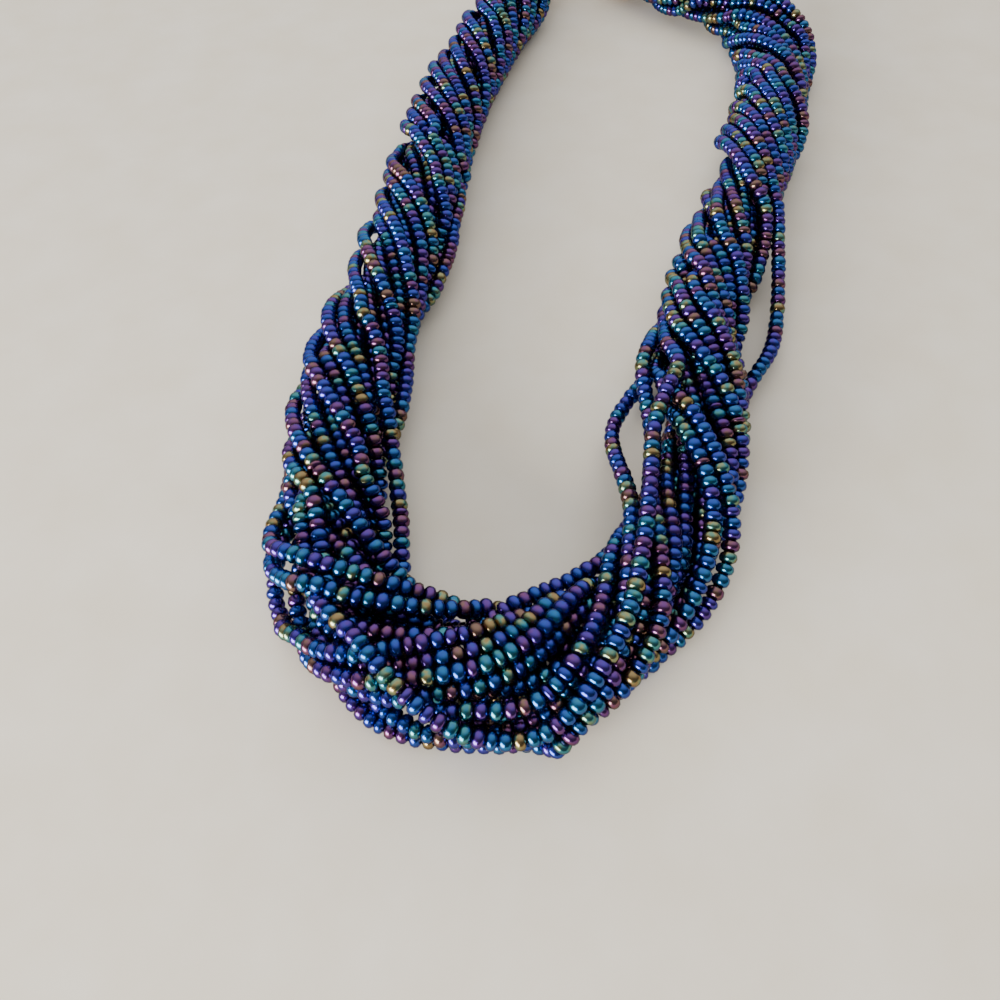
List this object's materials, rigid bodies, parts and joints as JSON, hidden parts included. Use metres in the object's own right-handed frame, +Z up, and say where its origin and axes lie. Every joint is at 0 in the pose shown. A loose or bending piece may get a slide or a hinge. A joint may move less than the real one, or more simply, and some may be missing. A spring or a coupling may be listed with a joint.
{
  "type": "multi strand torsade necklace",
  "caption": "Twisted rope of iridescent seed bead strands, gathered into two bell caps and closed by a small barrel clasp, lying as a long loop.",
  "frame": {"origin": "on the table, under the middle of the part's box", "axes": "+Z up from the table, +Y from the front bend towards the clasp, +X to the right as seen over the front bend"},
  "size_m": [0.0934, 0.2108, 0.0148],
  "materials": {
    "seed_beads": "opaque dark glass with a metallic iris coat, polished",
    "findings": "antiqued bronze tone, satin"
  },
  "bodies": {
    "root": {"strand_bundle": "seed_beads", "loose_strand_inner": "seed_beads", "loose_strand_outer": "seed_beads", "loose_strand_front": "seed_beads", "end_cap_left": "findings", "end_cap_right": "findings", "eye_pin_left": "findings", "eye_pin_right": "findings", "clasp": "findings"}
  },
  "joints": []
}
